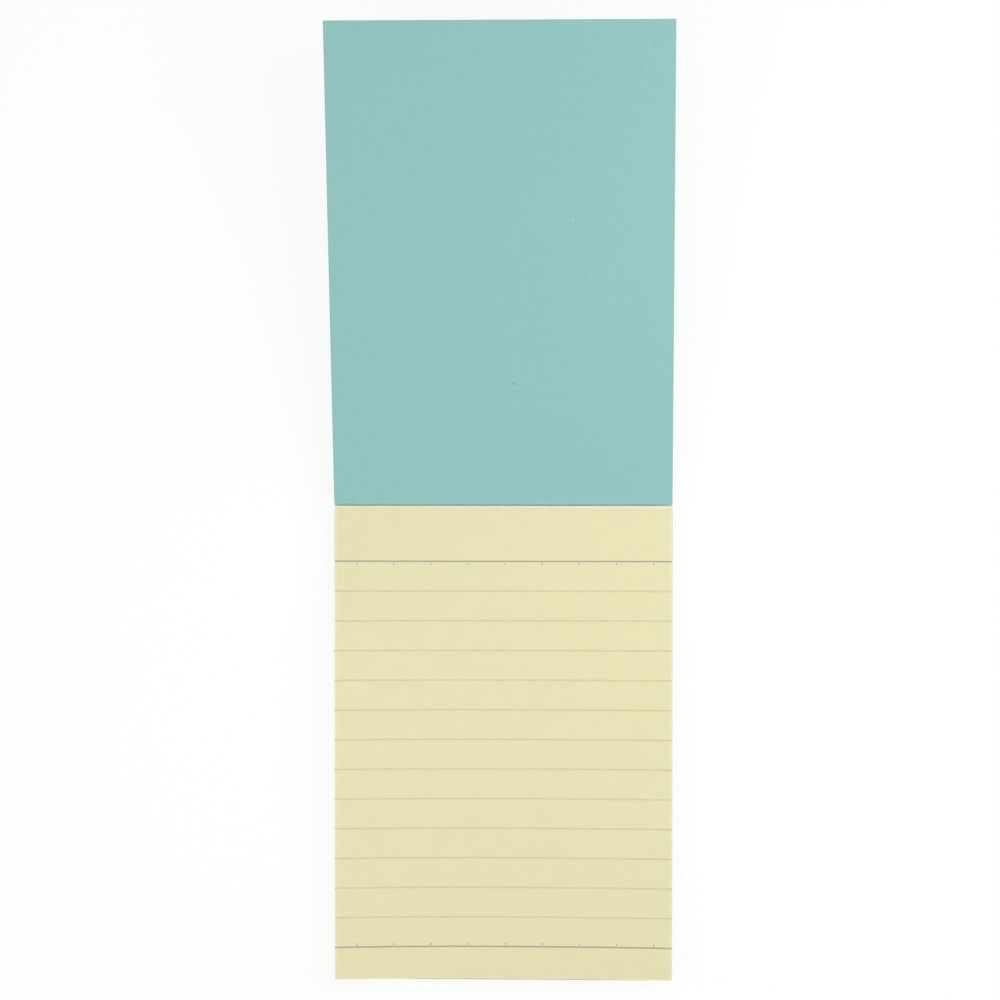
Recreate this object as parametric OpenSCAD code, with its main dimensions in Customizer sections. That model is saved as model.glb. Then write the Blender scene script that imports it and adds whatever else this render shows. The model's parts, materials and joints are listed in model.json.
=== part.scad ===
// Pocket memo pad, bound along its top edge, with a wraparound card cover that stands open.
// The origin is the centre of the back cover's underside: +X is to the reader's right,
// +Y towards the bound edge and +Z up out of the page. Sizes are in millimetres.

/* [Leaves] */
// Width of a leaf
leaf_w = 91; // [70:1:150]
// Length of a leaf, from the bound edge to the free edge
leaf_l = 128; // [90:1:210]
// Thickness of a leaf
leaf_t = 0.1; // [0.07:0.01:0.14]
// Number of leaves
leaf_count = 60; // [30:1:90]
// How far a leaf may stray from the trimmed edges
leaf_stray = 0.12; // [0:0.01:0.2]

/* [Ruling] */
// Blank head, from the bound edge to the first ruled line
head_margin = 15; // [10:0.5:25]
// Least blank foot below the last ruled line
foot_margin = 9; // [5:0.5:15]
// Distance from one ruled line to the next
line_pitch = 8; // [6:0.5:10]
// Width of a ruled line
line_w = 0.35; // [0.1:0.05:0.5]
// Distance from one tick to the next along the border lines
tick_pitch = 10; // [5:1:20]
// Length of a tick, from the middle of its border line
tick_l = 1; // [0.6:0.1:3]
// Width of a tick
tick_w = 0.3; // [0.1:0.05:0.5]
// Least blank margin beside the first and the last tick
tick_margin = 5; // [3:0.5:10]
// How far the ticks are printed to the right of the leaf's middle
print_shift = 0.5; // [0:0.1:1]
// Height of the printed ink above the paper
ink_t = 0.04; // [0.02:0.01:0.06]

/* [Binding] */
// Thickness of the padding glue between the leaves and the spine
glue_t = 0.3; // [0.25:0.05:0.6]

/* [Card cover] */
// Thickness of the card
card_t = 0.4; // [0.25:0.05:0.6]
// Inside radius of the bend below the spine
bend_r = 0.2; // [0.1:0.05:0.25]
// Clearance in the scored crease between the spine and the front cover
crease_gap = 0.1; // [0.05:0.01:0.2]
// Height of the closed front cover's inside above the top leaf
cover_clear = 0.15; // [0.1:0.05:0.4]
// Angle that the front cover stands open, from closed on the leaves
cover_open = 166; // [0:1:266]

/* [Hidden] */
$fn = 48;

card_colour = [0.59, 0.78, 0.76];
paper_colour = [0.91, 0.88, 0.72];
glue_colour = [0.94, 0.93, 0.88];
dark_ink_colour = [0.55, 0.51, 0.42];
pale_ink_colour = [0.80, 0.77, 0.65];

// The shut pad's length: leaves, glue and the card of the spine
pad_l = leaf_l + glue_t + card_t;
foot_y = -pad_l / 2;
spine_y = pad_l / 2;
bound_y = foot_y + leaf_l;

block_t = leaf_count * leaf_t;
block_top = card_t + block_t;
// The glue's lower corner is rounder than the card's bend and thinner than the glue
glue_r = (bend_r + glue_t) / 2;

// The cover turns about the outer corner of the closed fold
hinge_y = spine_y + crease_gap;
hinge_z = block_top + cover_clear + card_t;
cover_l = pad_l + crease_gap;

// The border lines are the first and the last ruled line
line_spaces = floor((leaf_l - head_margin - foot_margin) / line_pitch);
first_line_y = bound_y - head_margin;
last_line_y = first_line_y - line_spaces * line_pitch;
tick_count = floor((leaf_w - 2 * tick_margin) / tick_pitch) + 1;

// How far a leaf strays, in a fixed uneven order: the angle between leaves only keeps
// neighbours unlike. The top leaf, number 0, doesn't stray.
stray_turn = 137.5;
function stray(number, phase) = number == 0 ? 0 : leaf_stray * sin(number * stray_turn + phase);

// Draws a profile of Y and Z coordinates through a width centred on X
module through_width(w) {
    translate([-w / 2, 0, 0])
        rotate([90, 0, 90])
            linear_extrude(w)
                children();
}

// Rectangle from [y1, z1] to [y2, z2] with its lower right corner rounded
module rounded_foot(y1, z1, y2, z2, r) {
    difference() {
        translate([y1, z1])
            square([y2 - y1, z2 - z1]);
        difference() {
            translate([y2 - r, z1 - r])
                square(2 * r);
            translate([y2 - r, z1 + r])
                circle(r);
        }
    }
}

// One leaf, counted from the top and flush with the others at its bound edge.
// It may lie a little to one side, and its foot a little short of the trimmed edge.
module leaf(number) {
    side = stray(number, 0);
    foot = abs(stray(number, 90));
    translate([side - leaf_w / 2, foot_y + foot, block_top - (number + 1) * leaf_t])
        cube([leaf_w, leaf_l - foot, leaf_t]);
}

module page_block() {
    color(paper_colour)
        for (number = [0 : leaf_count - 1])
            leaf(number);
}

// One ruled line across the whole leaf
module ruled_line(y) {
    translate([-leaf_w / 2, y - line_w / 2, block_top])
        cube([leaf_w, line_w, ink_t]);
}

// The row of ticks of a border line: they point down from it, or up where side is 1
module tick_row(y, side) {
    for (i = [0 : tick_count - 1]) {
        x = print_shift + (i - (tick_count - 1) / 2) * tick_pitch;
        translate([x - tick_w / 2, side > 0 ? y : y - tick_l, block_top])
            cube([tick_w, tick_l, ink_t]);
    }
}

module border_print() {
    color(dark_ink_colour) {
        ruled_line(first_line_y);
        tick_row(first_line_y, -1);
        ruled_line(last_line_y);
        tick_row(last_line_y, 1);
    }
}

module line_print() {
    color(pale_ink_colour)
        for (i = [1 : line_spaces - 1])
            ruled_line(first_line_y - i * line_pitch);
}

// The film of padding glue on the bound edge, which the spine is pressed onto
module binding_glue() {
    color(glue_colour)
        through_width(leaf_w)
            rounded_foot(bound_y, card_t, bound_y + glue_t, block_top, glue_r);
}

// Everything above the spine's mitred top edge
module above_mitre() {
    reach = 2 * card_t + crease_gap;
    polygon([
        [hinge_y - reach, hinge_z - crease_gap - reach],
        [hinge_y + reach, hinge_z - crease_gap + reach],
        [hinge_y - reach, hinge_z - crease_gap + reach]
    ]);
}

// Back panel and spine, one piece of card bent round the bound edge
module back_cover() {
    color(card_colour)
        through_width(leaf_w)
            difference() {
                rounded_foot(foot_y, 0, spine_y, hinge_z, bend_r + card_t);
                rounded_foot(foot_y - card_t, card_t, spine_y - card_t, hinge_z + card_t, bend_r);
                above_mitre();
            }
}

// Front panel: drawn closed with its hinge at the origin, mitred there to meet the spine
module front_cover() {
    color(card_colour)
        translate([0, hinge_y, hinge_z])
            rotate([-cover_open, 0, 0])
                through_width(leaf_w)
                    polygon([
                        [0, 0],
                        [-card_t, -card_t],
                        [-cover_l, -card_t],
                        [-cover_l, 0]
                    ]);
}

page_block();
border_print();
line_print();
binding_glue();
back_cover();
front_cover();
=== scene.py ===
"""Memo pad: the looks of a top-bound pocket pad with ruled leaves and a wraparound card cover.

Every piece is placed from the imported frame. Lengths are in metres, in the frame's axes: +X to the
reader's right, +Y towards the bound edge and +Z up out of the page.
"""

import json
import math

import bpy
import numpy as np
from mathutils import Euler, Matrix, Vector


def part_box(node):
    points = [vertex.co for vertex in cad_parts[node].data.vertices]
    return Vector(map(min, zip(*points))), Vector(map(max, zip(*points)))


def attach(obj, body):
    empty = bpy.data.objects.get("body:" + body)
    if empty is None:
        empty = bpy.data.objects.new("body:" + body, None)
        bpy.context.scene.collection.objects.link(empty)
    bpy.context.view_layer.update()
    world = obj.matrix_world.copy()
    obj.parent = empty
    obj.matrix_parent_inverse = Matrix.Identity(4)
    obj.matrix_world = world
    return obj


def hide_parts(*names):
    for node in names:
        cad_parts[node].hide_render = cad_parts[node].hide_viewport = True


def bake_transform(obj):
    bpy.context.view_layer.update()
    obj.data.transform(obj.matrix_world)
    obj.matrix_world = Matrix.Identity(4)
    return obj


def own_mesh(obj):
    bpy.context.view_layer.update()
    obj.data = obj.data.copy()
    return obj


bl_info = {
    "name": "Memo Pad",
    "version": (1, 0, 0),
    "blender": (4, 5, 0),
    "location": "3D View > Sidebar > Memo Pad",
    "description": "Builds a top-bound memo pad with ruled leaves and a card cover",
    "category": "Add Mesh",
}

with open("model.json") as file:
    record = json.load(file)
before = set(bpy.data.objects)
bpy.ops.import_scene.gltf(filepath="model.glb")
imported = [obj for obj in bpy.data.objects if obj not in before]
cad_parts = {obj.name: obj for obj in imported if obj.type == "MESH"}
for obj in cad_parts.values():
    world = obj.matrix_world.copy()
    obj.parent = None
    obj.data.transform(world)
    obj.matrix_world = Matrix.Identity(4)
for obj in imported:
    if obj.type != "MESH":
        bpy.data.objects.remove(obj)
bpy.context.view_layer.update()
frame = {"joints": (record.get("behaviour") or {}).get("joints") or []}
MM = 0.001

# Sizes that the frame gives
GLUE_LOW, GLUE_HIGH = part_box("binding_glue")
BACK_LOW, BACK_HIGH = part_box("back_cover")
BLOCK_LOW, BLOCK_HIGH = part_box("page_block")
HALF_W = float(GLUE_HIGH[0])
FOOT_Y = float(BACK_LOW[1])
SPINE_Y = float(BACK_HIGH[1])
BOUND_Y = float(GLUE_LOW[1])
GLUE_Y = float(GLUE_HIGH[1])
CARD_T = float(BLOCK_LOW[2])
BLOCK_TOP = float(BLOCK_HIGH[2])
HINGE = frame["joints"][0]
HINGE_Y, HINGE_Z = HINGE["pos_m"][1:]
CLOSED_DEG = HINGE["range_deg"][0]
# The panel's slope above the floor's plane, from the angle that it has still to turn to shut
COVER_SLOPE = math.radians(180 + CLOSED_DEG)
# Length of the front panel from the hinge, a hair shorter than the solid's
FREE_EDGE_L = HINGE_Y - FOOT_Y - 0.05 * MM

# Rows of points along each stretch of the card, from its foot to its free edge
BACK_ROWS = 32
BEND_ROWS = 9
SPINE_ROWS = 8
SCORE_ROWS = 5
CREASE_ROWS = 12
FRONT_ROWS = 48
# Columns of points across the card, without those on its cut edges
CARD_COLUMNS = 92
# How far the score reaches down the spine and along the front panel from the hinge
SCORE_DOWN = 0.7 * MM
SCORE_ALONG = 0.6 * MM
# Length over which the front panel eases out of the crease
EASE_L = 1.6 * MM
# Wave lengths of the crease's ripple and of the front panel's warp
RIPPLE_LENGTHS = (61 * MM, 23 * MM, 9.5 * MM, 4.3 * MM)
WARP_LENGTHS = (140 * MM, 95 * MM)
# Two specks on the card: the place from its middle and from the crease, the radius and the colour
LIGHT_SPECK = ((18.9 * MM, 76.5 * MM), 0.3 * MM, (0.41, 0.71, 0.67))
DARK_SPECK = ((3.15 * MM, 32.95 * MM), 0.5 * MM, (0.22, 0.43, 0.41))

# The leaves' own half width, and their bound edge under the glue
LEAF_HALF_W = HALF_W - 0.14 * MM
LEAF_EDGE_Y = BOUND_Y - 0.1 * MM
# Width of the rim of the upper leaves that is painted paler, as light shining through the thin paper
GLOW_RIM_W = 0.6 * MM
# Where a leaf starts to curl and where its curl is full, from the bound edge
CURL_START = 10 * MM
CURL_FULL = 45 * MM
# How steeply the curl changes from the left side to the right
LEAN_STEEPNESS = 4
# How quickly the curl fades from the top leaf to the lower ones
CURL_FADE = 2.2
# Rows of points along the curled leaves, close together where they bend, and columns across
BEND_L = 48 * MM
LEAF_BEND_ROWS = 40
LEAF_FOOT_ROWS = 14
LEAF_COLUMNS = 29
# Share of the space of one leaf that a curled and a flat one fill
CURLED_FILL = 0.6
FLAT_FILL = 0.85

# Height of the printed ink above the paper, and the points along a ruled line
INK_T = 0.03 * MM
LINE_POINTS = 61

# Columns of points across the glue, and the size of its lower corner and of its step
GLUE_COLUMNS = 122
GLUE_CORNER = 0.15 * MM
# Wave lengths of the glue lip's edge and of its height
LIP_EDGE_LENGTHS = (31 * MM, 12 * MM, 5 * MM, 2.3 * MM)
LIP_TOP_LENGTHS = (17 * MM, 6 * MM, 2.9 * MM)


class CardSettings(bpy.types.PropertyGroup):
    colour: bpy.props.FloatVectorProperty(
        name="Card colour", description="Colour of the card on both sides",
        subtype="COLOR", size=3, min=0, max=1, default=(0.290, 0.540, 0.516))
    bend_radius: bpy.props.FloatProperty(
        name="Bend radius", description="Inside radius of the bend below the spine",
        unit="LENGTH", default=0.2 * MM, min=0)
    cut_chamfer: bpy.props.FloatProperty(
        name="Cut chamfer", description="Width of the worn corner along each cut edge",
        unit="LENGTH", default=0.05 * MM, min=0)
    score_depth: bpy.props.FloatProperty(
        name="Score depth", description="How far the scored crease is pressed in on each side",
        unit="LENGTH", default=0.05 * MM, min=0)
    crease_ripple: bpy.props.FloatProperty(
        name="Crease ripple", description="How far the crease wanders across the card",
        unit="LENGTH", default=0.05 * MM, min=0)
    warp: bpy.props.FloatProperty(
        name="Warp", description="How far the open front panel is from flat",
        unit="LENGTH", default=0.15 * MM, min=0)
    seed: bpy.props.IntProperty(
        name="Seed", description="Picks how the crease wanders and the panel warps", default=3)
    specks: bpy.props.BoolProperty(
        name="Specks", description="Draws the light and the dark speck in the card", default=True)


class LeafSettings(bpy.types.PropertyGroup):
    colour: bpy.props.FloatVectorProperty(
        name="Paper colour", description="Colour of the leaves",
        subtype="COLOR", size=3, min=0, max=1, default=(0.793, 0.743, 0.464))
    leaf_t: bpy.props.FloatProperty(
        name="Leaf thickness", description="Thickness of one leaf with the air under it",
        unit="LENGTH", default=0.1 * MM, min=0.01 * MM)
    curl: bpy.props.FloatProperty(
        name="Curl", description="How far the sides of the top leaf lift off the block",
        unit="LENGTH", default=2.4 * MM, min=0)
    uneven_curl: bpy.props.FloatProperty(
        name="Uneven curl", description="Share by which the left side lifts more and the right less",
        subtype="FACTOR", default=0.3, min=0, max=1)
    foot_gap: bpy.props.FloatProperty(
        name="Foot gap", description="How far the curled leaves fall short of the flat ones",
        unit="LENGTH", default=0.3 * MM, min=0)
    turn: bpy.props.FloatProperty(
        name="Turn", description="How far the curled leaves lie to the right at their foot",
        unit="LENGTH", default=0.1 * MM)
    curled_leaves: bpy.props.IntProperty(
        name="Curled leaves", description="Number of upper leaves that lift at their sides",
        default=12, min=1)
    stray: bpy.props.FloatProperty(
        name="Stray", description="How far a leaf may lie from the trimmed edges",
        unit="LENGTH", default=0.1 * MM, min=0)
    seed: bpy.props.IntProperty(
        name="Seed", description="Picks the order in which the leaves stray", default=4)


class PrintSettings(bpy.types.PropertyGroup):
    border_colour: bpy.props.FloatVectorProperty(
        name="Border ink", description="Colour of the border lines and their ticks",
        subtype="COLOR", size=3, min=0, max=1, default=(0.442, 0.409, 0.319))
    line_colour: bpy.props.FloatVectorProperty(
        name="Line ink", description="Colour of the writing lines",
        subtype="COLOR", size=3, min=0, max=1, default=(0.693, 0.646, 0.399))
    border_w: bpy.props.FloatProperty(
        name="Border line width", description="Width of a border line",
        unit="LENGTH", default=0.42 * MM, min=0)
    line_w: bpy.props.FloatProperty(
        name="Writing line width", description="Width of a writing line",
        unit="LENGTH", default=0.5 * MM, min=0)
    line_pitch: bpy.props.FloatProperty(
        name="Line pitch", description="Distance from one ruled line to the next",
        unit="LENGTH", default=8 * MM, min=1 * MM)
    head_margin: bpy.props.FloatProperty(
        name="Head margin", description="Distance from the bound edge to the first ruled line",
        unit="LENGTH", default=15 * MM, min=0)
    line_spaces: bpy.props.IntProperty(
        name="Line spaces", description="Number of spaces between the two border lines",
        default=13, min=1)
    tick_pitch: bpy.props.FloatProperty(
        name="Tick pitch", description="Distance from one tick to the next",
        unit="LENGTH", default=10 * MM, min=1 * MM)
    tick_count: bpy.props.IntProperty(
        name="Ticks", description="Number of ticks on each border line", default=9, min=1)
    tick_gap: bpy.props.FloatProperty(
        name="Tick gap", description="Distance from the middle of a border line to its ticks",
        unit="LENGTH", default=0.4 * MM, min=0)
    tick_l: bpy.props.FloatProperty(
        name="Tick length", description="Length of a tick",
        unit="LENGTH", default=0.6 * MM, min=0)
    tick_w: bpy.props.FloatProperty(
        name="Tick width", description="Width of a tick",
        unit="LENGTH", default=0.26 * MM, min=0)
    print_shift: bpy.props.FloatProperty(
        name="Print shift", description="How far the ticks sit to the right of the middle",
        unit="LENGTH", default=0.5 * MM)


class GlueSettings(bpy.types.PropertyGroup):
    # The glue's milky colour is lighter than dried glue is, so that it paints a bright line of light along
    # the bound edge against the fold's shade
    colour: bpy.props.FloatVectorProperty(
        name="Glue colour", description="Colour of the dried padding glue",
        subtype="COLOR", size=3, min=0, max=1, default=(0.95, 0.955, 0.86))
    film_t: bpy.props.FloatProperty(
        name="Film thickness", description="Thickness of the glue near the top of the bound edge",
        unit="LENGTH", default=0.03 * MM, min=0)
    free_spine: bpy.props.FloatProperty(
        name="Free spine", description="Height of the spine's inside that the glue doesn't reach",
        unit="LENGTH", default=1.0 * MM, min=0)
    lip_w: bpy.props.FloatProperty(
        name="Lip width", description="How far the glue laps onto the top leaf",
        unit="LENGTH", default=0.9 * MM, min=0)
    lip_t: bpy.props.FloatProperty(
        name="Lip thickness", description="Thickness of the glue on the top leaf",
        unit="LENGTH", default=0.02 * MM, min=0)
    seed: bpy.props.IntProperty(
        name="Seed", description="Picks how the lip's edge and height wander", default=11)


class StageSettings(bpy.types.PropertyGroup):
    camera_place: bpy.props.FloatVectorProperty(
        name="Camera place", description="Where the camera hangs above the pad",
        subtype="TRANSLATION", size=3, default=(24.63 * MM, 79.17 * MM, 773.9 * MM))
    camera_turn: bpy.props.FloatVectorProperty(
        name="Camera turn", description="The camera's turn about X, Y and Z from straight down",
        subtype="EULER", size=3, default=[math.radians(turn) for turn in (-1.044, 1.902, 0.039)])
    lens: bpy.props.FloatProperty(
        name="Lens", description="Focal length on a sensor 36 mm wide, in millimetres",
        default=102.71, min=1)
    sky_strength: bpy.props.FloatProperty(
        name="Sky strength", description="Light from all round", default=0.46, min=0)
    key_place: bpy.props.FloatVectorProperty(
        name="Key place", description="Where the lamp at the upper right hangs",
        subtype="TRANSLATION", size=3, default=(255 * MM, 119 * MM, 340 * MM))
    key_power: bpy.props.FloatProperty(
        name="Key power", description="Power of the lamp at the upper right, in watts",
        default=0.873, min=0)
    fill_place: bpy.props.FloatVectorProperty(
        name="Fill place", description="Where the lamp at the lower left hangs",
        subtype="TRANSLATION", size=3, default=(-148 * MM, -37 * MM, 340 * MM))
    fill_power: bpy.props.FloatProperty(
        name="Fill power", description="Power of the lamp at the lower left, in watts",
        default=0.452, min=0)
    lamp_size: bpy.props.FloatProperty(
        name="Lamp size", description="Side of both square lamps",
        unit="LENGTH", default=300 * MM, min=1 * MM)
    floor_w: bpy.props.FloatProperty(
        name="Floor width", description="Side of the square floor", unit="LENGTH", default=4, min=1)
    floor_white: bpy.props.FloatProperty(
        name="Floor white", description="Share of plain white in the floor that the camera sees",
        subtype="FACTOR", default=0.87, min=0, max=1)


def new_object(name, points, faces):
    """A mesh object at the origin, with its place in its mesh."""
    mesh = bpy.data.meshes.new(name)
    mesh.from_pydata([tuple(p) for p in points], [], [tuple(f) for f in faces])
    mesh.validate()
    obj = bpy.data.objects.new(name, mesh)
    bpy.context.scene.collection.objects.link(obj)
    return obj


def shade(obj, crease_deg=40):
    """Smooth shading, apart from edges that turn by more than crease_deg."""
    obj.data.shade_smooth()
    obj.data.set_sharp_from_angle(angle=math.radians(crease_deg))


def store_vectors(obj, name, vectors):
    """Keeps a vector at every point, which a material reads whatever the pose."""
    attribute = obj.data.attributes.new(name, "FLOAT_VECTOR", "POINT")
    attribute.data.foreach_set("vector", np.asarray(vectors, np.float32).ravel())


def store_values(obj, name, values):
    """Keeps a number at every point."""
    attribute = obj.data.attributes.new(name, "FLOAT", "POINT")
    attribute.data.foreach_set("value", np.asarray(values, np.float32).ravel())


def smoothstep(low, high, value):
    """Eases from 0 at low to 1 at high."""
    t = np.clip((np.asarray(value, float) - low) / (high - low), 0, 1)
    return t * t * (3 - 2 * t)


def waves(x, seed, lengths):
    """Smooth wandering between about -1 and 1, as a sum of sine waves of these lengths."""
    rng = np.random.default_rng(seed)
    total = sum(rng.uniform(0.5, 1) * np.sin(2 * np.pi * (x / length + rng.random()))
                for length in lengths)
    return total / len(lengths)


def grid_faces(rows, columns, start=0, flip=False):
    """Quads over a grid of points that are numbered row by row."""
    quads = []
    for i in range(rows - 1):
        for j in range(columns - 1):
            a = start + i * columns + j
            quad = [a, a + 1, a + columns + 1, a + columns]
            quads.append(quad[::-1] if flip else quad)
    return quads


def sheet_faces(rows, columns, start=0):
    """Faces of a closed sheet: an upper grid, a lower grid after it, and the rim between them."""
    lower = start + rows * columns
    faces = grid_faces(rows, columns, start) + grid_faces(rows, columns, lower, flip=True)
    rim = [(0, j) for j in range(columns)]
    rim += [(i, columns - 1) for i in range(1, rows)]
    rim += [(rows - 1, j) for j in range(columns - 2, -1, -1)]
    rim += [(i, 0) for i in range(rows - 2, 0, -1)]
    ring = [i * columns + j for i, j in rim]
    for a, b in zip(ring, ring[1:] + ring[:1]):
        faces.append([start + b, start + a, lower + a, lower + b])
    return faces


def set_input(node, name, value):
    """Sets a node's input by its name."""
    node.inputs[name].default_value = value


def new_material(name):
    """A material with a Principled shader, its node tree and that shader."""
    material = bpy.data.materials.new(name)
    material.use_nodes = True
    tree = material.node_tree
    return material, tree, tree.nodes["Principled BSDF"]


def add_node(tree, kind, **values):
    """A new node with its own settings."""
    node = tree.nodes.new(kind)
    for key, value in values.items():
        setattr(node, key, value)
    return node


def place_node(tree, attribute, scale=(1, 1, 1)):
    """The piece's own flat coordinates, scaled for a pattern."""
    read = add_node(tree, "ShaderNodeAttribute", attribute_name=attribute)
    mapping = add_node(tree, "ShaderNodeMapping")
    mapping.inputs["Scale"].default_value = scale
    tree.links.new(read.outputs["Vector"], mapping.inputs["Vector"])
    return mapping.outputs["Vector"]


def value_node(tree, attribute):
    """A number that is kept at the piece's points."""
    return add_node(tree, "ShaderNodeAttribute", attribute_name=attribute).outputs["Fac"]


def noise(tree, vector, scale, detail=2.0, roughness=0.5):
    """A cloudy pattern with about scale patches to a metre."""
    node = add_node(tree, "ShaderNodeTexNoise")
    set_input(node, "Scale", scale)
    set_input(node, "Detail", detail)
    set_input(node, "Roughness", roughness)
    tree.links.new(vector, node.inputs["Vector"])
    return node.outputs["Fac"]


def math_node(tree, operation, a, b):
    """A Math node on two numbers or sockets, in a shader tree or a geometry tree."""
    node = add_node(tree, "ShaderNodeMath", operation=operation)
    for socket, value in zip(node.inputs, (a, b)):
        if isinstance(value, bpy.types.NodeSocket):
            tree.links.new(value, socket)
        else:
            socket.default_value = value
    return node.outputs["Value"]


def multiply(tree, a, b):
    """The product of two numbers or sockets."""
    return math_node(tree, "MULTIPLY", a, b)


def mapped(tree, value, given, wanted, interpolation):
    """A value from one range, moved to another range and kept within it."""
    node = add_node(tree, "ShaderNodeMapRange", interpolation_type=interpolation)
    names = ("From Min", "From Max", "To Min", "To Max")
    for name, number in zip(names, (*given, *wanted)):
        set_input(node, name, number)
    tree.links.new(value, node.inputs["Value"])
    return node.outputs["Result"]


def threshold(tree, value, low, high):
    """A mask that rises from 0 to 1 while the value goes from low to high."""
    return mapped(tree, value, (low, high), (0.0, 1.0), "SMOOTHSTEP")


def spread_about(tree, value, low, high):
    """Stretches a noise, which lies mostly between 0.3 and 0.7, to run from low to high."""
    return mapped(tree, value, (0.3, 0.7), (low, high), "LINEAR")


def tint(tree, colour, factor):
    """A plain colour, made lighter or darker by a factor about 1."""
    node = add_node(tree, "ShaderNodeVectorMath", operation="SCALE")
    node.inputs[0].default_value = colour
    tree.links.new(factor, node.inputs["Scale"])
    return node.outputs["Vector"]


def mix_colours(tree, factor, a, b):
    """The first colour, turned into the second as the factor rises from 0 to 1."""
    node = add_node(tree, "ShaderNodeMix", data_type="RGBA")
    # The node has sockets of each kind under the same names, so its colour sockets go by number
    tree.links.new(factor, node.inputs[0])
    for socket, colour in ((node.inputs[6], a), (node.inputs[7], b)):
        if isinstance(colour, bpy.types.NodeSocket):
            tree.links.new(colour, socket)
        else:
            socket.default_value = (*colour, 1)
    return node.outputs[2]


def add_bump(tree, shader, height, distance, strength):
    """Lets a height pattern disturb the surface's shading."""
    node = add_node(tree, "ShaderNodeBump")
    set_input(node, "Distance", distance)
    set_input(node, "Strength", strength)
    tree.links.new(height, node.inputs["Height"])
    tree.links.new(node.outputs["Normal"], shader.inputs["Normal"])


def speck(tree, flat, place, radius):
    """A mask of one speck at a place on the card, soft from half its radius outwards."""
    away = add_node(tree, "ShaderNodeVectorMath", operation="DISTANCE")
    tree.links.new(flat, away.inputs[0])
    away.inputs[1].default_value = (*place, 0)
    return threshold(tree, away.outputs["Value"], radius, 0.5 * radius)


def card_material(card):
    """Dyed card with a fine felt, darker flecks, a few pale fibres and pale worn edges."""
    fleck_depth, fibre_share, wear_share = 0.03, 0.16, 0.4
    material, tree, shader = new_material("dyed_card")
    flat = place_node(tree, "flat_place")
    clouds = spread_about(tree, noise(tree, flat, scale=35), low=0.994, high=1.006)
    felt = noise(tree, flat, scale=2600, detail=3, roughness=0.65)
    grain = spread_about(tree, felt, low=0.988, high=1.012)
    mottle = spread_about(tree, noise(tree, flat, scale=430, roughness=0.55), low=1.012, high=0.988)
    flecks = threshold(tree, noise(tree, flat, scale=560, roughness=0.55), low=0.62, high=0.74)
    darker = math_node(tree, "SUBTRACT", 1.0, multiply(tree, flecks, fleck_depth))
    level = multiply(tree, multiply(tree, clouds, grain), multiply(tree, mottle, darker))
    body = tint(tree, card.colour, level)
    pale = [min(1.0, c * 1.25 + 0.03) for c in card.colour]
    fibre_place = place_node(tree, "flat_place", (1500, 260, 1))
    fibres = threshold(tree, noise(tree, fibre_place, scale=1, detail=1), low=0.72, high=0.80)
    body = mix_colours(tree, multiply(tree, fibres, fibre_share), body, pale)
    patchy = threshold(tree, noise(tree, flat, scale=130), low=0.3, high=0.6)
    worn = multiply(tree, value_node(tree, "second_colour_share"), multiply(tree, patchy, wear_share))
    body = mix_colours(tree, worn, body, pale)
    if card.specks:
        for place, radius, colour in (LIGHT_SPECK, DARK_SPECK):
            body = mix_colours(tree, speck(tree, flat, place, radius), body, colour)
    tree.links.new(body, shader.inputs["Base Color"])
    tree.links.new(spread_about(tree, felt, low=0.74, high=0.84), shader.inputs["Roughness"])
    set_input(shader, "Specular IOR Level", 0.25)
    add_bump(tree, shader, felt, distance=0.02 * MM, strength=0.5)
    return material


def paper_material(colour):
    """Cream writing paper, with streaks along the cut edges, painted shade in a darker colour on the flat
    leaves, and a rim on the upper leaves painted paler and bluer as light shining through the thin paper.
    """
    material, tree, shader = new_material("cream_paper")
    flat = place_node(tree, "flat_place")
    clouds = spread_about(tree, noise(tree, flat, scale=160, detail=3, roughness=0.6), low=0.99, high=1.01)
    fibres = noise(tree, flat, scale=3000, roughness=0.6)
    fine = spread_about(tree, fibres, low=0.99, high=1.01)
    faces = tint(tree, colour, multiply(tree, clouds, fine))
    streak_place = place_node(tree, "flat_place", (30, 30, 9000))
    streaks = noise(tree, streak_place, scale=1, detail=3, roughness=0.7)
    # The flat leaves' colour: darker streaks along their cut edges, and painted shade on the strips of
    # their top faces that show beside and below the curled leaves
    edges = tint(tree, colour, spread_about(tree, streaks, low=0.72, high=0.94))
    body = mix_colours(tree, value_node(tree, "second_colour_share"), faces, edges)
    # How far each channel of the rim's colour has gone to white, a painted glow of light shining through
    # the thin paper: it is paler and bluer
    glow_whitening = (0.27, 0.3375, 0.36)
    pale = [c + share * (1 - c) for c, share in zip(colour, glow_whitening)]
    body = mix_colours(tree, value_node(tree, "rim"), body, pale)
    tree.links.new(body, shader.inputs["Base Color"])
    set_input(shader, "Roughness", 0.88)
    set_input(shader, "Specular IOR Level", 0.15)
    add_bump(tree, shader, fibres, distance=0.01 * MM, strength=0.4)
    return material


def ink_material(name, colour):
    """Printed ink that the paper has taken up unevenly."""
    material, tree, shader = new_material(name)
    flat = place_node(tree, "flat_place")
    uneven = spread_about(tree, noise(tree, flat, scale=900, detail=3, roughness=0.7), low=0.96, high=1.04)
    tree.links.new(tint(tree, colour, uneven), shader.inputs["Base Color"])
    set_input(shader, "Roughness", 0.8)
    set_input(shader, "Specular IOR Level", 0.2)
    return material


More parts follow.
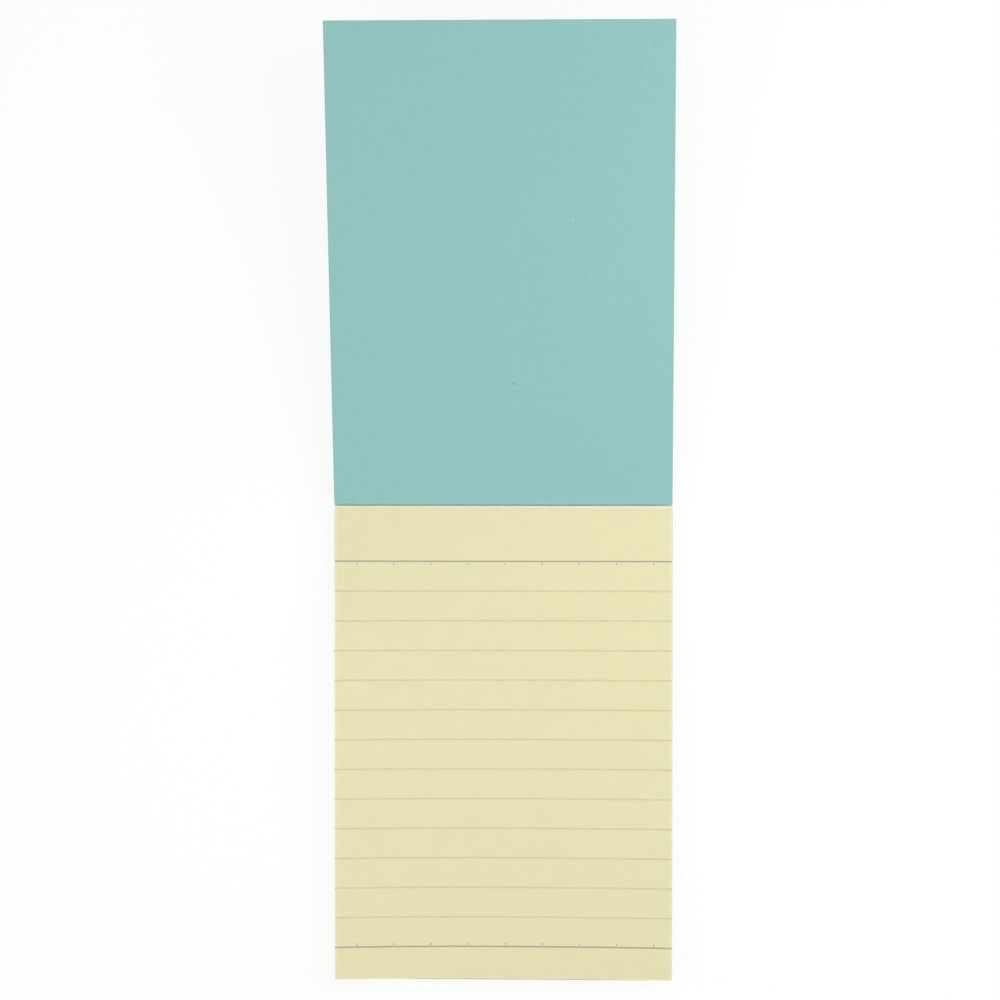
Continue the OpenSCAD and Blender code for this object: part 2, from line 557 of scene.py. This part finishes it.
def glue_material(colour, paper):
    """Dried padding glue: milky and a little glossy, with brush marks, and clear where it is thin. Its
    colours are lighter than real glue, painting a bright line of light along the bound edge.
    """
    material, tree, shader = new_material("padding_glue")
    stretched = place_node(tree, "flat_place", (0.15, 1, 1))
    marks = noise(tree, stretched, scale=1500, detail=3, roughness=0.6)
    milky = tint(tree, colour, spread_about(tree, marks, low=0.95, high=1.05))
    # Where the glue is thin it takes the paper's colour made lighter: painted light along the bound edge
    clear = [min(1.0, 1.05 * c) for c in paper]
    body = mix_colours(tree, value_node(tree, "second_colour_share"), milky, clear)
    tree.links.new(body, shader.inputs["Base Color"])
    set_input(shader, "Roughness", 0.45)
    set_input(shader, "Subsurface Weight", 0.15)
    set_input(shader, "Subsurface Radius", (0.4 * MM, 0.35 * MM, 0.25 * MM))
    set_input(shader, "Subsurface Scale", 1.0)
    add_bump(tree, shader, marks, distance=0.03 * MM, strength=0.6)
    return material


def floor_material(white_share):
    """White to the camera, but it keeps a part of the object's shadow."""
    material, tree, shader = new_material("white_floor")
    set_input(shader, "Base Color", (1, 1, 1, 1))
    set_input(shader, "Roughness", 0.9)
    set_input(shader, "Specular IOR Level", 0.0)
    white = add_node(tree, "ShaderNodeEmission")
    path = add_node(tree, "ShaderNodeLightPath")
    seen = math_node(tree, "MAXIMUM", path.outputs["Is Camera Ray"], path.outputs["Is Glossy Ray"])
    seen = math_node(tree, "MAXIMUM", seen, path.outputs["Is Transmission Ray"])
    mix = add_node(tree, "ShaderNodeMixShader")
    tree.links.new(multiply(tree, seen, white_share), mix.inputs["Fac"])
    tree.links.new(shader.outputs["BSDF"], mix.inputs[1])
    tree.links.new(white.outputs["Emission"], mix.inputs[2])
    tree.links.new(mix.outputs["Shader"], tree.nodes["Material Output"].inputs["Surface"])
    return material


def card_path(card):
    """The card's middle line from the back panel's foot to the front panel's free edge.

    Gives arrays of the points (y, z), of the direction towards the inside of the cover, of how
    near each point is to the crease, from 0 to 1, and of its distance past the crease.
    """
    half_t = CARD_T / 2
    # How much of the score the spine takes, and how far the crease stands off the hinge
    spine_share = 0.3
    crease_rise = 0.04 * MM
    points, inward, crease, past_hinge = [], [], [], []

    def add(y, z, ny, nz, near_crease=0.0, distance=0.0):
        points.append((y, z))
        inward.append((ny, nz))
        crease.append(near_crease)
        past_hinge.append(distance)

    bend_y = SPINE_Y - CARD_T - card.bend_radius
    bend_z = CARD_T + card.bend_radius
    bend_r = card.bend_radius + half_t
    # Rows stand closer together near the cut edges, the bend and the crease
    back = np.linspace(FOOT_Y + 2 * MM, bend_y - 0.5 * MM, BACK_ROWS)
    for y in [FOOT_Y, FOOT_Y + card.cut_chamfer, *back]:
        add(y, half_t, 0, 1)
    for angle in np.linspace(-math.pi / 2, 0, BEND_ROWS):
        c, s = math.cos(angle), math.sin(angle)
        add(bend_y + bend_r * c, bend_z + bend_r * s, -c, -s)
    for z in np.linspace(bend_z + 0.5 * MM, HINGE_Z - 1.0 * MM, SPINE_ROWS):
        add(SPINE_Y - half_t, z, -1, 0)
    for z in np.linspace(HINGE_Z - SCORE_DOWN, HINGE_Z, SCORE_ROWS):
        add(SPINE_Y - half_t, z, -1, 0, spine_share)
    # The crease turns about the hinge, while its radius goes from the spine's to the panel's
    arc_start, arc_end = math.pi, math.pi / 2 + COVER_SLOPE
    start_r = HINGE_Y - SPINE_Y + half_t
    end_r = half_t + crease_rise
    for share in np.linspace(0, 1, CREASE_ROWS + 1)[1:]:
        angle = arc_start + (arc_end - arc_start) * share
        radius = start_r + (end_r - start_r) * share
        c, s = math.cos(angle), math.sin(angle)
        add(HINGE_Y + radius * c, HINGE_Z + radius * s, c, s, 1.0)
    along = np.array([math.cos(COVER_SLOPE), math.sin(COVER_SLOPE)])
    across = np.array([-math.sin(COVER_SLOPE), math.cos(COVER_SLOPE)])
    near = [0.15 * MM, 0.35 * MM, SCORE_ALONG, 1.0 * MM, EASE_L]
    front = np.linspace(3 * MM, FREE_EDGE_L - 2 * MM, FRONT_ROWS)
    for distance in [*near, *front, FREE_EDGE_L - card.cut_chamfer, FREE_EDGE_L]:
        rise = end_r + (half_t - end_r) * float(smoothstep(0, EASE_L, distance))
        y, z = np.array([HINGE_Y, HINGE_Z]) + along * distance + across * rise
        add(y, z, *across, max(0.0, 1 - distance / SCORE_ALONG), distance)
    return [np.array(values) for values in (points, inward, crease, past_hinge)]


def build_card(card):
    """The whole cover as one closed sheet of card, from its foot round the leaves to the free edge."""
    points, inward, crease, past_hinge = card_path(card)
    step = np.linalg.norm(np.diff(points, axis=0), axis=1)
    length = np.concatenate([[0], np.cumsum(step)])
    length -= length[np.flatnonzero(past_hinge)[0] - 1]
    chamfer = card.cut_chamfer
    inner_x = np.linspace(-HALF_W + chamfer, HALF_W - chamfer, CARD_COLUMNS)
    x = np.array([-HALF_W, *inner_x, HALF_W])
    rows, columns = len(points), len(x)

    half_t = np.tile(CARD_T / 2 - card.score_depth * crease[:, None], (1, columns))
    for edge in (np.s_[0, :], np.s_[-1, :], np.s_[:, 0], np.s_[:, -1]):
        half_t[edge] -= chamfer
    ripple = card.crease_ripple * waves(x, card.seed, RIPPLE_LENGTHS)
    # The warp takes another seed, which keeps it unlike the ripple
    bow = card.warp * np.sin(math.pi * past_hinge / FREE_EDGE_L) ** 2
    sag = np.outer(bow, 1 + waves(x, card.seed + 5, WARP_LENGTHS))
    move = np.outer(crease, ripple) + sag

    def surface(side):
        offset = move + side * half_t
        y = points[:, :1] + inward[:, :1] * offset
        z = points[:, 1:] + inward[:, 1:] * offset
        return np.stack([np.broadcast_to(x, y.shape), y, z], axis=2).reshape(-1, 3)

    places = np.concatenate([surface(-1), surface(1)])
    obj = new_object("card_cover", places, sheet_faces(rows, columns))
    flat_x, flat_l = np.meshgrid(x, length)
    flat = np.stack([flat_x, flat_l, np.zeros_like(flat_x)], axis=2).reshape(-1, 3)
    below = flat - [0, 0, CARD_T]
    store_vectors(obj, "flat_place", np.concatenate([below, flat]))
    cut_edge = np.ones((rows, columns))
    cut_edge[1:-1, 1:-1] = 0
    second_colour_share = np.maximum(0.5 * crease[:, None], cut_edge)
    store_values(obj, "second_colour_share", np.concatenate([second_colour_share, second_colour_share]))
    return obj


def leaf_lift(x, y, most, uneven):
    """How far a leaf lifts off the block: most at its sides, none near the bound edge."""
    along = smoothstep(CURL_START, CURL_FULL, BOUND_Y - np.asarray(y, float))
    side = np.asarray(x, float) / HALF_W
    lean = 1 - uneven * np.tanh(LEAN_STEEPNESS * side)
    return most * along * side ** 2 * lean


def curled_shares(leaves):
    """The lift of each upper leaf, from the top one down."""
    count = leaves.curled_leaves
    return [leaves.curl * (1 - number / count) ** CURL_FADE for number in range(count)]


def turned(leaves, x, y):
    """Where a place on a leaf lies once the curled leaves have turned about their bound edge."""
    return x + leaves.turn * (LEAF_EDGE_Y - y) / (LEAF_EDGE_Y - FOOT_Y)


def build_upper_leaves(leaves):
    """The upper leaves, each a closed sheet whose sides lift a little less than the one above.

    Away from their sides they all press into the block's top layer.
    """
    rng = np.random.default_rng(leaves.seed)
    points, faces, flats, glow_rims = [], [], [], []
    sheet_t = CURLED_FILL * leaves.leaf_t
    # How far each leaf is pressed down, so that all of them stay within the top layer
    press = (leaves.leaf_t - sheet_t) / leaves.curled_leaves * 0.9
    inner_x = np.linspace(GLOW_RIM_W - LEAF_HALF_W, LEAF_HALF_W - GLOW_RIM_W, LEAF_COLUMNS)
    x_line = np.array([-LEAF_HALF_W, *inner_x, LEAF_HALF_W])
    for number, share in enumerate(curled_shares(leaves)):
        stray = leaves.stray * rng.uniform(-0.8, 0.2) if number else 0
        foot = FOOT_Y + leaves.foot_gap * (rng.uniform(1, 1.3) if number else 1)
        bend_y = np.linspace(LEAF_EDGE_Y, LEAF_EDGE_Y - BEND_L, LEAF_BEND_ROWS)
        lower_y = np.linspace(LEAF_EDGE_Y - BEND_L, foot + GLOW_RIM_W, LEAF_FOOT_ROWS)[1:]
        y_line = np.array([*bend_y, *lower_y, foot])
        x, y = np.meshgrid(x_line, y_line)
        # The painted glow of the rim is half as strong at the foot as at the sides
        rim = np.maximum(np.abs(x) > LEAF_HALF_W - 0.5 * GLOW_RIM_W, 0.5 * (y < foot + 0.5 * GLOW_RIM_W))
        x = turned(leaves, x + stray, y)
        top = BLOCK_TOP - number * press + leaf_lift(x, y, share, leaves.uneven_curl)
        faces += sheet_faces(len(y_line), len(x_line), sum(len(p) for p in points))
        for z in (top - sheet_t, top):
            points.append(np.stack([x, y, z], axis=2).reshape(-1, 3))
            flats.append(np.stack([x, y, np.full(x.shape, z.min())], axis=2).reshape(-1, 3))
            glow_rims.append(rim.ravel())
    obj = new_object("upper_leaves", np.concatenate(points), faces)
    store_vectors(obj, "flat_place", np.concatenate(flats))
    store_values(obj, "second_colour_share", np.zeros(len(obj.data.vertices)))
    store_values(obj, "rim", np.concatenate(glow_rims))
    return obj


def new_geometry_tree(name, inputs):
    """A Geometry Nodes tree with named inputs, its group input and its group output."""
    tree = bpy.data.node_groups.new(name, "GeometryNodeTree")
    for label, kind, value in inputs:
        socket = tree.interface.new_socket(name=label, in_out="INPUT", socket_type=kind)
        if value is not None:
            socket.default_value = value
    tree.interface.new_socket(name="Geometry", in_out="OUTPUT", socket_type="NodeSocketGeometry")
    return tree, tree.nodes.new("NodeGroupInput"), tree.nodes.new("NodeGroupOutput")


def finish_tree(tree, geometry, given, out):
    """Ends a tree in Realize Instances and Set Material."""
    realize = tree.nodes.new("GeometryNodeRealizeInstances")
    paint = tree.nodes.new("GeometryNodeSetMaterial")
    tree.links.new(geometry, realize.inputs["Geometry"])
    tree.links.new(realize.outputs["Geometry"], paint.inputs["Geometry"])
    tree.links.new(given.outputs["Material"], paint.inputs["Material"])
    tree.links.new(paint.outputs["Geometry"], out.inputs["Geometry"])


def mesh_from_tree(name, tree, values):
    """Runs a tree on an empty object and keeps its result as a plain mesh object."""
    host = new_object(name + "_host", [], [])
    modifier = host.modifiers.new(name, "NODES")
    modifier.node_group = tree
    for item in tree.interface.items_tree:
        if item.item_type == "SOCKET" and item.in_out == "INPUT" and item.name in values:
            modifier[item.identifier] = values[item.name]
    host.update_tag()
    bpy.context.view_layer.update()
    evaluated = host.evaluated_get(bpy.context.evaluated_depsgraph_get())
    mesh = bpy.data.meshes.new_from_object(evaluated)
    host.modifiers.remove(modifier)
    bpy.data.objects.remove(host)
    obj = bpy.data.objects.new(name, mesh)
    mesh.name = name
    bpy.context.scene.collection.objects.link(obj)
    return obj


def random_value(tree, low, high, seed):
    """A random number between two numbers or sockets, another for each point."""
    node = add_node(tree, "FunctionNodeRandomValue", data_type="FLOAT")
    sockets = [s for s in node.inputs if s.enabled and s.name in ("Min", "Max")]
    for socket, value in zip(sockets, (low, high)):
        if isinstance(value, bpy.types.NodeSocket):
            tree.links.new(value, socket)
        else:
            socket.default_value = value
    tree.links.new(seed, node.inputs["Seed"])
    return next(s for s in node.outputs if s.enabled)


def leaf_stack_tree():
    """A stack of flat leaves that hang from the bound edge, each a little astray."""
    tree, given, out = new_geometry_tree("leaf_stack", [
        ("Leaves", "NodeSocketInt", 48),
        ("Pitch", "NodeSocketFloat", 0.1 * MM),
        ("Size", "NodeSocketVector", None),
        ("Bound edge", "NodeSocketVector", None),
        ("Stray", "NodeSocketFloat", 0.05 * MM),
        ("Seed", "NodeSocketInt", 0),
        ("Material", "NodeSocketMaterial", None),
    ])
    link = tree.links.new
    step = tree.nodes.new("ShaderNodeCombineXYZ")
    link(given.outputs["Pitch"], step.inputs["Z"])
    line = add_node(tree, "GeometryNodeMeshLine", mode="OFFSET")
    link(given.outputs["Leaves"], line.inputs["Count"])
    link(given.outputs["Bound edge"], line.inputs["Start Location"])
    link(step.outputs["Vector"], line.inputs["Offset"])

    leftmost = multiply(tree, given.outputs["Stray"], -1.0)
    sideways = random_value(tree, leftmost, given.outputs["Stray"], given.outputs["Seed"])
    shift = tree.nodes.new("ShaderNodeCombineXYZ")
    link(sideways, shift.inputs["X"])
    moved = tree.nodes.new("GeometryNodeSetPosition")
    link(line.outputs["Mesh"], moved.inputs["Geometry"])
    link(shift.outputs["Vector"], moved.inputs["Offset"])

    leaf = tree.nodes.new("GeometryNodeMeshCube")
    link(given.outputs["Size"], leaf.inputs["Size"])
    half = add_node(tree, "ShaderNodeVectorMath", operation="MULTIPLY")
    half.inputs[1].default_value = (0, -0.5, 0.5)
    link(given.outputs["Size"], half.inputs[0])
    hung = tree.nodes.new("GeometryNodeTransform")
    link(leaf.outputs["Mesh"], hung.inputs["Geometry"])
    link(half.outputs["Vector"], hung.inputs["Translation"])

    size = tree.nodes.new("ShaderNodeSeparateXYZ")
    link(given.outputs["Size"], size.inputs["Vector"])
    shortest = math_node(tree, "DIVIDE", given.outputs["Stray"], size.outputs["Y"])
    shortest = math_node(tree, "SUBTRACT", 1.0, shortest)
    shorten = random_value(tree, shortest, 1.0, given.outputs["Seed"])
    scale = tree.nodes.new("ShaderNodeCombineXYZ")
    set_input(scale, "X", 1.0)
    set_input(scale, "Z", 1.0)
    link(shorten, scale.inputs["Y"])

    copies = tree.nodes.new("GeometryNodeInstanceOnPoints")
    link(moved.outputs["Geometry"], copies.inputs["Points"])
    link(hung.outputs["Geometry"], copies.inputs["Instance"])
    link(scale.outputs["Vector"], copies.inputs["Scale"])
    finish_tree(tree, copies.outputs["Instances"], given, out)
    return tree


def build_leaf_stack(leaves, material):
    """The flat leaves under the curled ones."""
    obj = mesh_from_tree("leaf_stack", leaf_stack_tree(), {
        "Leaves": round((BLOCK_TOP - CARD_T) / leaves.leaf_t) - 1,
        "Pitch": leaves.leaf_t,
        "Size": (2 * HALF_W - leaves.stray, LEAF_EDGE_Y - FOOT_Y, FLAT_FILL * leaves.leaf_t),
        "Bound edge": (0.0, LEAF_EDGE_Y, CARD_T),
        "Stray": leaves.stray,
        "Seed": leaves.seed,
        "Material": material,
    })
    store_vectors(obj, "flat_place", [tuple(v.co) for v in obj.data.vertices])
    # Every flat leaf takes the paper's darker, streaked colour. This paints shade on the strips that show
    # beside and below the curled leaves
    store_values(obj, "second_colour_share", np.ones(len(obj.data.vertices)))
    return obj


def ruling_tree():
    """A row of equal thin marks: ruled lines down the leaf, or ticks along a line."""
    tree, given, out = new_geometry_tree("ruling", [
        ("Count", "NodeSocketInt", 12),
        ("Start", "NodeSocketVector", None),
        ("Step", "NodeSocketVector", None),
        ("Mark", "NodeSocketVector", None),
        ("Cuts", "NodeSocketInt", 2),
        ("Material", "NodeSocketMaterial", None),
    ])
    link = tree.links.new
    line = add_node(tree, "GeometryNodeMeshLine", mode="OFFSET")
    link(given.outputs["Count"], line.inputs["Count"])
    link(given.outputs["Start"], line.inputs["Start Location"])
    link(given.outputs["Step"], line.inputs["Offset"])
    mark = tree.nodes.new("GeometryNodeMeshCube")
    link(given.outputs["Mark"], mark.inputs["Size"])
    link(given.outputs["Cuts"], mark.inputs["Vertices X"])
    copies = tree.nodes.new("GeometryNodeInstanceOnPoints")
    link(line.outputs["Mesh"], copies.inputs["Points"])
    link(mark.outputs["Mesh"], copies.inputs["Instance"])
    finish_tree(tree, copies.outputs["Instances"], given, out)
    return tree


def lay_on_top_leaf(obj, leaves):
    """Moves flat print that was made at height 0 onto the top leaf's surface."""
    co = np.array([v.co for v in obj.data.vertices], float)
    flat = co.copy()
    co[:, 0] = turned(leaves, co[:, 0], co[:, 1])
    co[:, 2] += BLOCK_TOP + leaf_lift(co[:, 0], co[:, 1], leaves.curl, leaves.uneven_curl)
    obj.data.vertices.foreach_set("co", co.astype(np.float32).ravel())
    obj.data.update()
    store_vectors(obj, "flat_place", flat)


def join(name, parts):
    """Several mesh objects as one."""
    with bpy.context.temp_override(active_object=parts[0], selected_editable_objects=parts):
        bpy.ops.object.join()
    parts[0].name = parts[0].data.name = name
    return parts[0]


def ruled_lines(name, line_w, first, count, step, material):
    """A number of lines across the leaf, from the given distance below the bound edge."""
    return mesh_from_tree(name, ruling_tree(), {
        "Count": count,
        "Start": (0.0, BOUND_Y - first, 0.0),
        "Step": (0.0, -step, 0.0),
        "Mark": (2 * LEAF_HALF_W, line_w, INK_T),
        "Cuts": LINE_POINTS,
        "Material": material,
    })


def tick_row(name, marks, line_at, side, material):
    """The ticks of one border line, below it or, where side is 1, above it."""
    start = marks.print_shift - (marks.tick_count - 1) / 2 * marks.tick_pitch
    middle = marks.tick_gap + marks.tick_l / 2
    return mesh_from_tree(name, ruling_tree(), {
        "Count": marks.tick_count,
        "Start": (start, BOUND_Y - line_at + side * middle, 0.0),
        "Step": (marks.tick_pitch, 0.0, 0.0),
        "Mark": (marks.tick_w, marks.tick_l, INK_T),
        "Cuts": 2,
        "Material": material,
    })


def build_glue(glue):
    """The glue on the bound edge: thick below, a film near the top, and a thin lip on the top leaf."""
    edge = LEAF_EDGE_Y
    film = edge + glue.film_t
    step_top = BLOCK_TOP - glue.free_spine
    x = np.linspace(-HALF_W, HALF_W, GLUE_COLUMNS)
    uneven = 0.3
    lip = glue.lip_w * (1 + uneven * x / HALF_W + uneven * waves(x, glue.seed, LIP_EDGE_LENGTHS))
    crest = BLOCK_TOP + glue.lip_t * (1 + uneven * waves(x, glue.seed + 1, LIP_TOP_LENGTHS))
    # How thin the glue is at each point of its outline, from 0 to 1
    thin = [0, 0, 0, 0, 0, 0, 0.1, 0.5, 1, 1]
    size = len(thin)
    points, faces = [], []
    for at, lip_w, crest_z in zip(x, lip, crest):
        outline = [
            (edge, CARD_T), (GLUE_Y - GLUE_CORNER, CARD_T), (GLUE_Y, CARD_T + GLUE_CORNER),
            (GLUE_Y, step_top - GLUE_CORNER), (film, step_top), (film, BLOCK_TOP), (edge, crest_z),
            (edge - 0.5 * lip_w, crest_z), (edge - lip_w, BLOCK_TOP), (edge, BLOCK_TOP),
        ]
        points += [(at, y, z) for y, z in outline]
    for i in range(len(x) - 1):
        for j in range(size):
            a, b = i * size + j, i * size + (j + 1) % size
            faces.append([a, a + size, b + size, b])
    last = (len(x) - 1) * size
    faces.append(list(range(size)))
    faces.append([last + j for j in reversed(range(size))])
    obj = new_object("glue_film", points, faces)
    store_vectors(obj, "flat_place", points)
    store_values(obj, "second_colour_share", thin * len(x))
    return obj


class MEMO_OT_card_cover(bpy.types.Operator):
    """Build the wraparound cover as one bent sheet of card"""

    bl_idname = "memo.card_cover"
    bl_label = "Card Cover"
    bl_options = {"REGISTER", "UNDO"}

    def execute(self, context):
        card = context.scene.memo_card
        obj = build_card(card)
        obj.data.materials.append(card_material(card))
        shade(obj)
        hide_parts("back_cover", "front_cover")
        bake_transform(obj)
        return {"FINISHED"}


class MEMO_OT_leaves(bpy.types.Operator):
    """Build the block of leaves: the flat ones and the curled ones on top"""

    bl_idname = "memo.leaves"
    bl_label = "Leaves"
    bl_options = {"REGISTER", "UNDO"}

    def execute(self, context):
        leaves = context.scene.memo_leaves
        paper = paper_material(leaves.colour)
        stack = build_leaf_stack(leaves, paper)
        upper = build_upper_leaves(leaves)
        upper.data.materials.append(paper)
        shade(upper)
        for obj in (stack, upper):
            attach(obj, "pad")
            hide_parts("page_block")
        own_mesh(upper)
        return {"FINISHED"}


class MEMO_OT_ruling(bpy.types.Operator):
    """Print the border lines, their ticks and the writing lines on the top leaf"""

    bl_idname = "memo.ruling"
    bl_label = "Ruling"
    bl_options = {"REGISTER", "UNDO"}

    def execute(self, context):
        marks, leaves = context.scene.memo_print, context.scene.memo_leaves
        dark = ink_material("border_ink", marks.border_colour)
        pale = ink_material("line_ink", marks.line_colour)
        head, foot = marks.head_margin, marks.head_margin + marks.line_spaces * marks.line_pitch
        border = join("border_lines", [
            ruled_lines("border_pair", marks.border_w, head, 2, foot - head, dark),
            tick_row("head_ticks", marks, head, -1, dark),
            tick_row("foot_ticks", marks, foot, 1, dark),
        ])
        lines = ruled_lines("writing_lines", marks.line_w, head + marks.line_pitch,
                            marks.line_spaces - 1, marks.line_pitch, pale)
        for obj, node, slot in ((border, "border_print", "border_ink"), (lines, "line_print", "line_ink")):
            lay_on_top_leaf(obj, leaves)
            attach(obj, "pad")
            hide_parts(node)
            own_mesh(obj)
        return {"FINISHED"}


class MEMO_OT_glue(bpy.types.Operator):
    """Build the film of padding glue on the bound edge"""

    bl_idname = "memo.glue"
    bl_label = "Padding Glue"
    bl_options = {"REGISTER", "UNDO"}

    def execute(self, context):
        glue = context.scene.memo_glue
        obj = build_glue(glue)
        obj.data.materials.append(glue_material(glue.colour, context.scene.memo_leaves.colour))
        shade(obj)
        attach(obj, "pad")
        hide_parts("binding_glue")
        return {"FINISHED"}


class MEMO_OT_stage(bpy.types.Operator):
    """Set up the floor, the lamps, the sky and the camera"""

    bl_idname = "memo.stage"
    bl_label = "Stage"
    bl_options = {"REGISTER", "UNDO"}

    def execute(self, context):
        stage = context.scene.memo_stage
        build_floor(stage)
        build_sky(stage)
        build_lamp("key_lamp", stage.key_place, stage.key_power, stage.lamp_size)
        build_lamp("fill_lamp", stage.fill_place, stage.fill_power, stage.lamp_size)
        build_camera(stage)
        context.scene.view_settings.view_transform = "Standard"
        return {"FINISHED"}


def build_floor(stage):
    """A wide white floor, which isn't part of the pad."""
    half = stage.floor_w / 2
    corners = [(-half, -half, 0), (half, -half, 0), (half, half, 0), (-half, half, 0)]
    floor = new_object("floor", corners, [[0, 1, 2, 3]])
    floor.data.materials.append(floor_material(stage.floor_white))


def build_sky(stage):
    """Even light from all round, which the camera sees as white."""
    world = bpy.data.worlds.new("sky")
    bpy.context.scene.world = world
    world.use_nodes = True
    tree = world.node_tree
    light = tree.nodes["Background"]
    set_input(light, "Color", (1, 1, 1, 1))
    set_input(light, "Strength", stage.sky_strength)
    white = add_node(tree, "ShaderNodeBackground")
    set_input(white, "Color", (1, 1, 1, 1))
    path = add_node(tree, "ShaderNodeLightPath")
    mix = add_node(tree, "ShaderNodeMixShader")
    tree.links.new(path.outputs["Is Camera Ray"], mix.inputs["Fac"])
    tree.links.new(light.outputs["Background"], mix.inputs[1])
    tree.links.new(white.outputs["Background"], mix.inputs[2])
    tree.links.new(mix.outputs["Shader"], tree.nodes["World Output"].inputs["Surface"])


def build_lamp(name, place, power, size):
    """A large soft lamp that hangs at a place and points at the pad's crease."""
    lamp = bpy.data.lights.new(name, "AREA")
    lamp.size = size
    lamp.energy = power
    obj = bpy.data.objects.new(name, lamp)
    obj.visible_camera = False
    bpy.context.scene.collection.objects.link(obj)
    turn = (Vector((0, SPINE_Y, 0)) - Vector(place)).to_track_quat("-Z", "Y")
    obj.matrix_world = Matrix.Translation(place) @ turn.to_matrix().to_4x4()


def build_camera(stage):
    """The camera that looks down on the pad as in the photo."""
    camera = bpy.data.cameras.new("camera")
    camera.lens = stage.lens
    camera.sensor_width = 36
    camera.clip_start = 0.01
    obj = bpy.data.objects.new("camera", camera)
    bpy.context.scene.collection.objects.link(obj)
    turn = Euler(stage.camera_turn, "ZYX").to_matrix().to_4x4()
    obj.matrix_world = Matrix.Translation(stage.camera_place) @ turn
    bpy.context.scene.camera = obj


class MEMO_PT_panel(bpy.types.Panel):
    """Lists the memo pad's pieces in the 3D view's sidebar."""

    bl_label = "Memo Pad"
    bl_idname = "MEMO_PT_panel"
    bl_space_type = "VIEW_3D"
    bl_region_type = "UI"
    bl_category = "Memo Pad"

    def draw(self, context):
        for operator in OPERATORS:
            self.layout.operator(operator.bl_idname)
        for name in SETTINGS:
            box = self.layout.box()
            group = getattr(context.scene, name)
            for key in group.bl_rna.properties.keys():
                if key not in ("rna_type", "name"):
                    box.prop(group, key)


SETTINGS = {
    "memo_card": CardSettings,
    "memo_leaves": LeafSettings,
    "memo_print": PrintSettings,
    "memo_glue": GlueSettings,
    "memo_stage": StageSettings,
}
OPERATORS = [MEMO_OT_stage, MEMO_OT_card_cover, MEMO_OT_leaves, MEMO_OT_ruling, MEMO_OT_glue]


def register():
    """Adds the settings, the operators and the panel."""
    for name, group in SETTINGS.items():
        bpy.utils.register_class(group)
        setattr(bpy.types.Scene, name, bpy.props.PointerProperty(type=group))
    for cls in (*OPERATORS, MEMO_PT_panel):
        bpy.utils.register_class(cls)


def unregister():
    """Takes them all away again."""
    for cls in (MEMO_PT_panel, *reversed(OPERATORS)):
        bpy.utils.unregister_class(cls)
    for name, group in reversed(SETTINGS.items()):
        delattr(bpy.types.Scene, name)
        bpy.utils.unregister_class(group)


def main():
    """Builds the whole scene."""
    register()
    bpy.ops.memo.stage()
    bpy.ops.memo.card_cover()
    bpy.ops.memo.leaves()
    bpy.ops.memo.ruling()
    bpy.ops.memo.glue()


if __name__ == "__main__":
    main()
